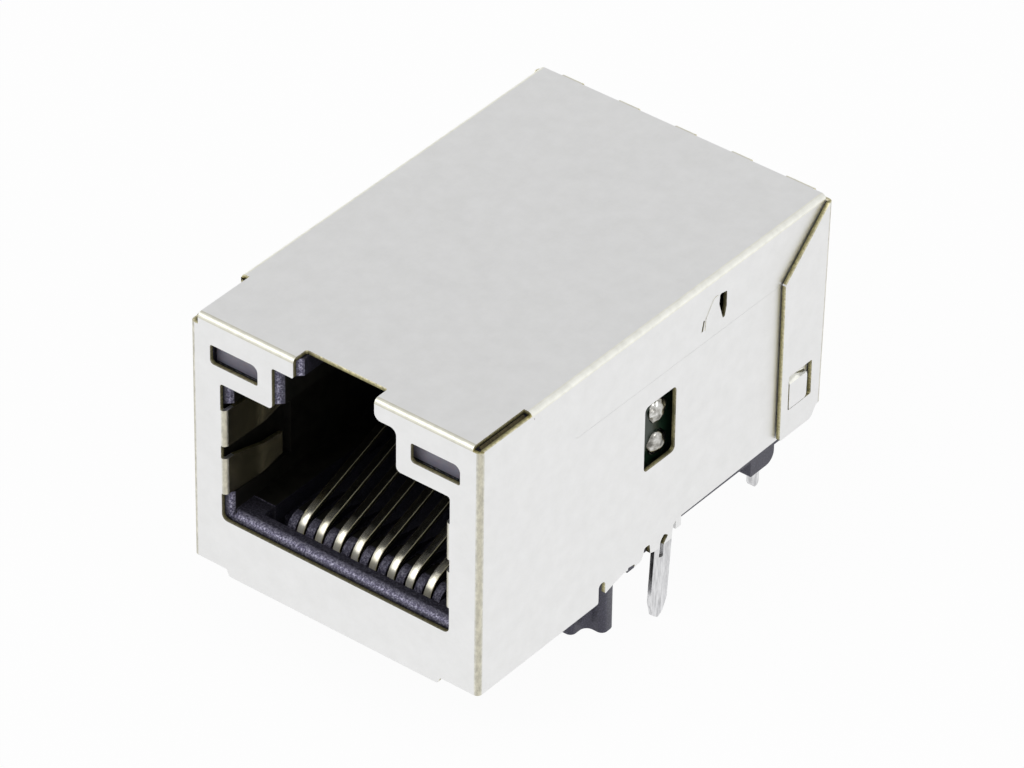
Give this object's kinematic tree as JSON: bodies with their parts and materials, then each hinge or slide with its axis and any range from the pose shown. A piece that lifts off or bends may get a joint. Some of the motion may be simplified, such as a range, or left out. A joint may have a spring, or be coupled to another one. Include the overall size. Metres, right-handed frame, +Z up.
{
  "type": "board jack for eight-contact modular plugs",
  "caption": "Shielded board jack for a modular network plug, with a front port, two indicator windows, solder pins and two locating posts.",
  "frame": {"origin": "on the circuit board's surface, midway between the two plastic posts", "axes": "+Z up from the board, the plug enters along +Y, +X to the right of someone facing the port"},
  "size_m": [0.0166, 0.0245, 0.0166],
  "materials": {
    "shield": "nickel-plated sheet, matt, with brass-coloured cut edges",
    "black_plastic": "moulded, glass-filled, lightly speckled",
    "contacts": "gold-plated",
    "tinned_wire": "dull tin plate",
    "light": "milky, translucent, unlit",
    "board": "green solder mask",
    "solder": "bright solder",
    "ferrite": "matt",
    "copper": "enamelled copper wire",
    "chip": "matt",
    "capacitor_body": "matt"
  },
  "bodies": {
    "root": {"shield": "shield", "front_housing": "black_plastic", "contact_carrier": "black_plastic", "contact_1": "contacts", "contact_2": "contacts", "contact_3": "contacts", "contact_4": "contacts", "contact_5": "contacts", "contact_6": "contacts", "contact_7": "contacts", "contact_8": "contacts", "left_light": "light", "left_light_outer_lead": "tinned_wire", "left_light_inner_lead": "tinned_wire", "right_light": "light", "right_light_outer_lead": "tinned_wire", "right_light_inner_lead": "tinned_wire", "rear_base": "black_plastic", "left_circuit_board": "board", "right_circuit_board": "board", "signal_pin_1": "tinned_wire", "signal_pin_2": "tinned_wire", "signal_pin_3": "tinned_wire", "signal_pin_4": "tinned_wire", "signal_pin_5": "tinned_wire", "signal_pin_6": "tinned_wire", "signal_pin_7": "tinned_wire", "signal_pin_8": "tinned_wire", "left_solder_joints": "solder", "right_solder_joints": "solder", "left_transformer_core": "ferrite", "left_transformer_winding": "copper", "right_transformer_core": "ferrite", "right_transformer_winding": "copper", "left_choke_core": "ferrite", "left_choke_winding": "copper", "right_choke_core": "ferrite", "right_choke_winding": "copper", "left_front_resistor": "chip", "left_rear_resistor": "chip", "right_front_resistor": "chip", "right_rear_resistor": "chip", "shield_capacitor": "capacitor_body"}
  },
  "joints": []
}
